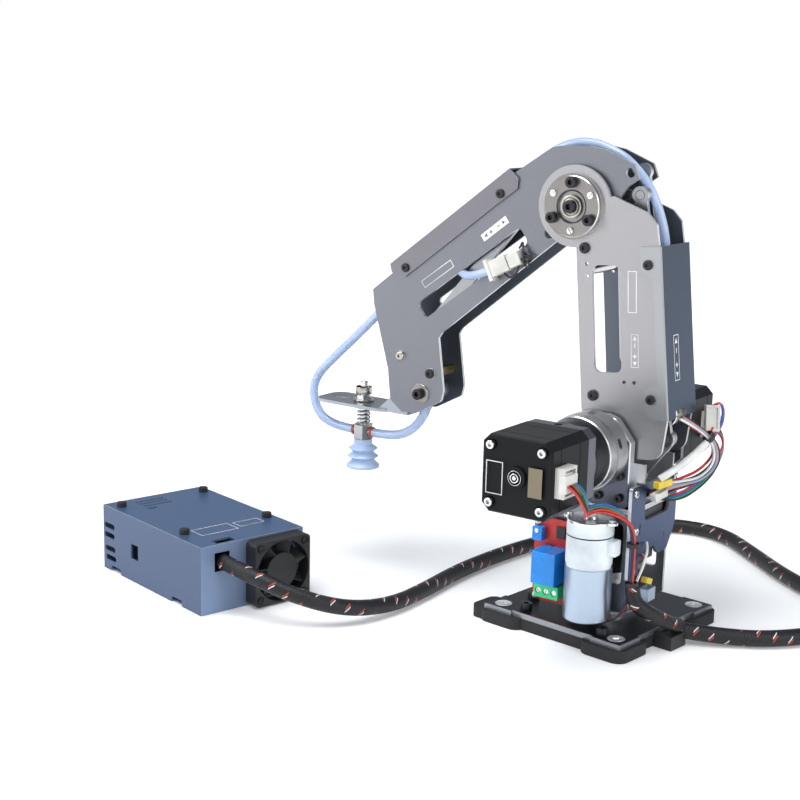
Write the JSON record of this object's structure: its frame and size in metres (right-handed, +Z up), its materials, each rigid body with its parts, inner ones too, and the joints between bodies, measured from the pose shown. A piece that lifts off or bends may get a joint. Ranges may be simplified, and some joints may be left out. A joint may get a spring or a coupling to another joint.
{
  "type": "desktop robot arm",
  "caption": "Desktop robot arm with geared stepper motors at the shoulder, a parallel levelling linkage, a spring-loaded suction tool and a wired control box.",
  "frame": {"origin": "on the waist axis at the underside of the base, which is the centre of its bolt circle", "axes": "+X the way the arm reaches at rest, +Y towards the side with the air pump, +Z up"},
  "size_m": [0.4203, 0.3443, 0.2802],
  "materials": {
    "pad_rubber": "matte",
    "graphite_plate": "satin anodised",
    "silver_metal": "satin",
    "braided_sleeve": "braided",
    "black_plastic": "matte",
    "slate_sheet": "satin",
    "motor_black": "satin",
    "dark_steel": "polished",
    "white_plastic": "satin",
    "steel_case": "satin",
    "board_red": "satin",
    "relay_blue": "gloss",
    "terminal_green": "satin",
    "arm_sheet": "satin anodised",
    "brass_post": "satin",
    "clear_tube": "translucent",
    "cup_rubber": "translucent"
  },
  "bodies": {
    "base": {"base_pad": "pad_rubber", "base_plate": "graphite_plate", "waist_flange": "silver_metal", "harness": "braided_sleeve", "harness_clip": "black_plastic", "box_tray": "slate_sheet", "box_lid": "slate_sheet", "box_bumpers": "pad_rubber", "fan_frame": "black_plastic"},
    "fan": {"fan_rotor": "black_plastic"},
    "turret": {"waist_gearbox": "silver_metal", "waist_motor": "motor_black", "turret_deck": "silver_metal", "side_plate_near": "silver_metal", "side_plate_far": "silver_metal", "mount_plate_near": "silver_metal", "mount_plate_far": "silver_metal", "rear_plate": "silver_metal", "motor_near": "motor_black", "motor_far": "motor_black", "gear_adapter_near": "silver_metal", "gear_adapter_far": "silver_metal", "gear_ring_near": "dark_steel", "gear_ring_far": "dark_steel", "gear_housing_near": "silver_metal", "gear_housing_far": "silver_metal", "motor_sockets": "white_plastic", "pump_motor": "steel_case", "pump_head": "white_plastic", "pump_cap": "white_plastic", "relay_board": "board_red", "relay": "relay_blue", "relay_terminal": "terminal_green", "limit_switch": "black_plastic"},
    "upper_arm": {"upper_plate_near": "arm_sheet", "upper_plate_far": "arm_sheet", "rear_cover": "slate_sheet", "upper_spacers": "steel_case", "elbow_shaft": "steel_case", "elbow_disc_near": "silver_metal", "elbow_disc_far": "silver_metal"},
    "level_triangle": {"level_triangle": "silver_metal"},
    "forearm": {"forearm_plate_near": "arm_sheet", "forearm_plate_far": "arm_sheet", "forearm_cover": "slate_sheet", "forearm_spacers": "brass_post", "elbow_tube": "clear_tube"},
    "crank": {"crank": "silver_metal"},
    "crank_pin": {"crank_pin": "steel_case"},
    "drive_rod": {"drive_rod": "silver_metal"},
    "level_rod_upper": {"level_rod_upper": "silver_metal"},
    "level_rod_lower": {"level_rod_lower": "silver_metal"},
    "tool_bracket": {"tool_bracket": "arm_sheet", "wrist_shaft": "steel_case", "tool_tube_front": "clear_tube", "tool_tube_rear": "clear_tube"},
    "suction": {"suction_rod": "steel_case", "suction_spring": "steel_case", "suction_block": "silver_metal", "suction_cup": "cup_rubber"}
  },
  "joints": [
    {"name": "waist", "type": "hinge", "parent": "base", "child": "turret", "pos_m": [0, 0, 0], "axis": [0, 0, 1], "range_deg": [-60, 60]},
    {"name": "shoulder", "type": "hinge", "parent": "turret", "child": "upper_arm", "pos_m": [-0.004, 0, 0.11], "axis": [0, 1, 0], "range_deg": [-10, 45]},
    {"name": "level_plate_pivot", "type": "hinge", "parent": "upper_arm", "child": "level_triangle", "pos_m": [0.0197, 0, 0.24361], "axis": [0, 1, 0], "range_deg": [-45, 10]},
    {"name": "forearm_pitch", "type": "hinge", "parent": "level_triangle", "child": "forearm", "pos_m": [0.0197, 0, 0.24361], "axis": [0, 1, 0], "range_deg": [-30, 15], "deforming": ["elbow_tube"]},
    {"name": "wrist_level", "type": "hinge", "parent": "forearm", "child": "tool_bracket", "pos_m": [0.12334, 0, 0.12184], "axis": [0, 1, 0], "range_deg": [-15, 30]},
    {"name": "suction_slide", "type": "slide", "parent": "tool_bracket", "child": "suction", "axis": [0, 0, 1], "range_m": [0, 0.006], "stiffness_N_per_m": 200, "springref_m": -0.006, "deforming": ["suction_spring", "tool_tube_front", "tool_tube_rear"]},
    {"name": "crank_turn", "type": "hinge", "parent": "turret", "child": "crank", "pos_m": [-0.004, 0, 0.11], "axis": [0, 1, 0], "range_deg": [-30, 15]},
    {"name": "crank_pin_turn", "type": "hinge", "parent": "crank", "child": "crank_pin", "pos_m": [-0.0356, 0, 0.13], "axis": [0, 1, 0], "range_deg": [-15, 30]},
    {"name": "drive_rod_turn", "type": "hinge", "parent": "crank_pin", "child": "drive_rod", "pos_m": [-0.0356, 0, 0.13], "axis": [0, 1, 0], "range_deg": [-10, 45]},
    {"name": "level_rod_upper_turn", "type": "hinge", "parent": "turret", "child": "level_rod_upper", "pos_m": [-0.04, 0, 0.118], "axis": [0, 1, 0], "range_deg": [-10, 45]},
    {"name": "level_rod_lower_turn", "type": "hinge", "parent": "level_triangle", "child": "level_rod_lower", "pos_m": [0.034, 0, 0.26471], "axis": [0, 1, 0], "range_deg": [-30, 15]},
    {"name": "fan_spin", "type": "hinge", "parent": "base", "child": "fan", "pos_m": [0.17246, 0.09329, 0.0206], "axis": [0.9692, -0.2462, 0], "continuous": true}
  ],
  "couplings": [
    {"joint": "level_plate_pivot", "follows": "shoulder", "ratio": -1},
    {"joint": "drive_rod_turn", "follows": "shoulder", "ratio": 1},
    {"joint": "level_rod_upper_turn", "follows": "shoulder", "ratio": 1},
    {"joint": "wrist_level", "follows": "forearm_pitch", "ratio": -1},
    {"joint": "crank_turn", "follows": "forearm_pitch", "ratio": 1},
    {"joint": "crank_pin_turn", "follows": "forearm_pitch", "ratio": -1},
    {"joint": "level_rod_lower_turn", "follows": "forearm_pitch", "ratio": 1}
  ]
}
